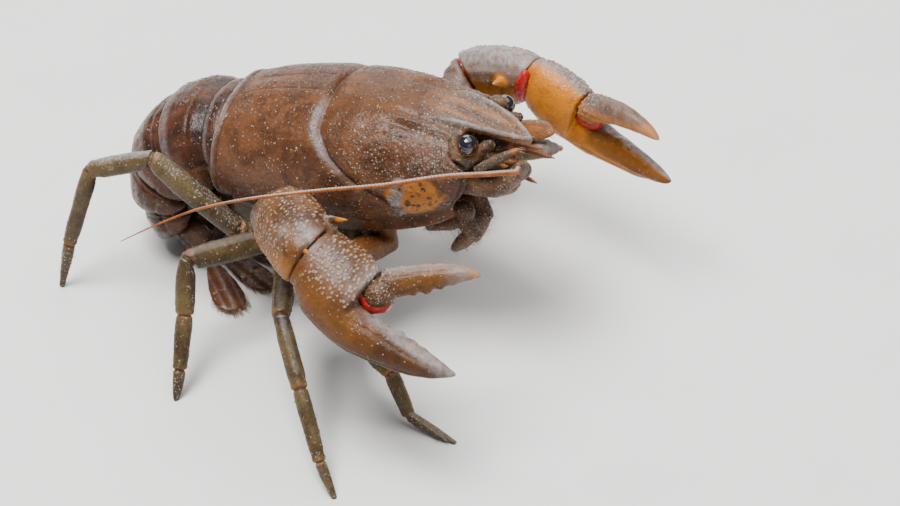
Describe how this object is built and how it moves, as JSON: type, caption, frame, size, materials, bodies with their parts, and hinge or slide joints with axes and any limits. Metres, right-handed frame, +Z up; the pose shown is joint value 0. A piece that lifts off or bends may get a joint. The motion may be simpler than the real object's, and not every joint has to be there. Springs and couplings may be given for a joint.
{
  "type": "crayfish model",
  "caption": "Life-size still model of a small freshwater crayfish in a threat pose, claws raised and open, one antenna swept back, tail curled under.",
  "frame": {"origin": "on the floor under the middle of the model's box", "axes": "+X the way the animal heads, +Y its left side, +Z up"},
  "size_m": [0.0452, 0.0454, 0.0217],
  "materials": {
    "carapace": "satin, brown with grey mud",
    "tail": "satin, reddish brown",
    "claws": "satin, brown to orange, with pale tubercles",
    "legs": "satin, olive brown",
    "feelers": "satin, orange and cream rings",
    "mouthparts": "satin, olive brown with mud",
    "eyes": "glossy black"
  },
  "bodies": {
    "root": {"abdomen_1": "tail", "abdomen_2": "tail", "abdomen_3": "tail", "abdomen_4": "tail", "abdomen_5": "tail", "abdomen_6": "tail", "antenna_base_left": "feelers", "antenna_base_right": "feelers", "antenna_left": "feelers", "antenna_right": "feelers", "antennal_scale_left": "feelers", "antennal_scale_right": "feelers", "antennule_left": "feelers", "antennule_right": "feelers", "cephalothorax": "carapace", "cheliped_left_base": "claws", "cheliped_left_carpus": "claws", "cheliped_left_finger": "claws", "cheliped_left_merus": "claws", "cheliped_left_palm": "claws", "cheliped_right_base": "claws", "cheliped_right_carpus": "claws", "cheliped_right_finger": "claws", "cheliped_right_merus": "claws", "cheliped_right_palm": "claws", "eye_left": "eyes", "eye_right": "eyes", "eyestalk_left": "mouthparts", "eyestalk_right": "mouthparts", "leg_2_left_lower": "legs", "leg_2_left_upper": "legs", "leg_2_right_lower": "legs", "leg_2_right_upper": "legs", "leg_3_left_lower": "legs", "leg_3_left_upper": "legs", "leg_3_right_lower": "legs", "leg_3_right_upper": "legs", "leg_4_left_lower": "legs", "leg_4_left_upper": "legs", "leg_4_right_lower": "legs", "leg_4_right_upper": "legs", "leg_5_left_lower": "legs", "leg_5_left_upper": "legs", "leg_5_right_lower": "legs", "leg_5_right_upper": "legs", "mandibles": "mouthparts", "maxilliped_left": "mouthparts", "maxilliped_right": "mouthparts", "telson": "tail", "uropod_inner_left": "tail", "uropod_inner_right": "tail", "uropod_outer_left": "tail", "uropod_outer_right": "tail"}
  },
  "joints": []
}
